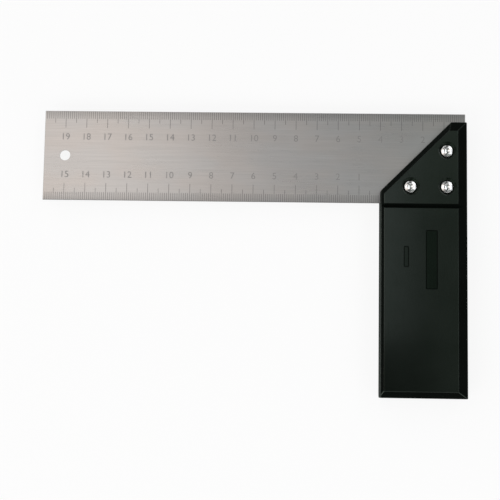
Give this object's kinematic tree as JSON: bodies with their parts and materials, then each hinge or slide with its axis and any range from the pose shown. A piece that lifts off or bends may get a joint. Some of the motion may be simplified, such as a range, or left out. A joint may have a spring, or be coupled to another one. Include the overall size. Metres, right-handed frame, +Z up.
{
  "type": "try square",
  "caption": "Fixed try square: flat steel blade with edge scales and a hanging hole, riveted into the slotted, mitred head of a bevelled black stock, for checking and marking right angles.",
  "frame": {"origin": "inside corner of the square, where the blade's inner edge meets the stock's inner face, halfway through the blade's thickness", "axes": "+X along the blade from its tip to its heel, +Y across the blade from its inner to its outer edge, +Z up out of the front face; the square lies flat on its back"},
  "size_m": [0.2, 0.134, 0.016],
  "materials": {
    "blade_steel": "brushed along the blade, satin",
    "stock_plastic": "moulded black, satin",
    "rivet_metal": "bright plated",
    "washer_metal": "dull plated"
  },
  "bodies": {
    "root": {"blade": "blade_steel", "stock": "stock_plastic", "rivet_top": "rivet_metal", "rivet_inner": "rivet_metal", "rivet_outer": "rivet_metal", "washer_top": "washer_metal", "washer_inner": "washer_metal", "washer_outer": "washer_metal"}
  },
  "joints": []
}
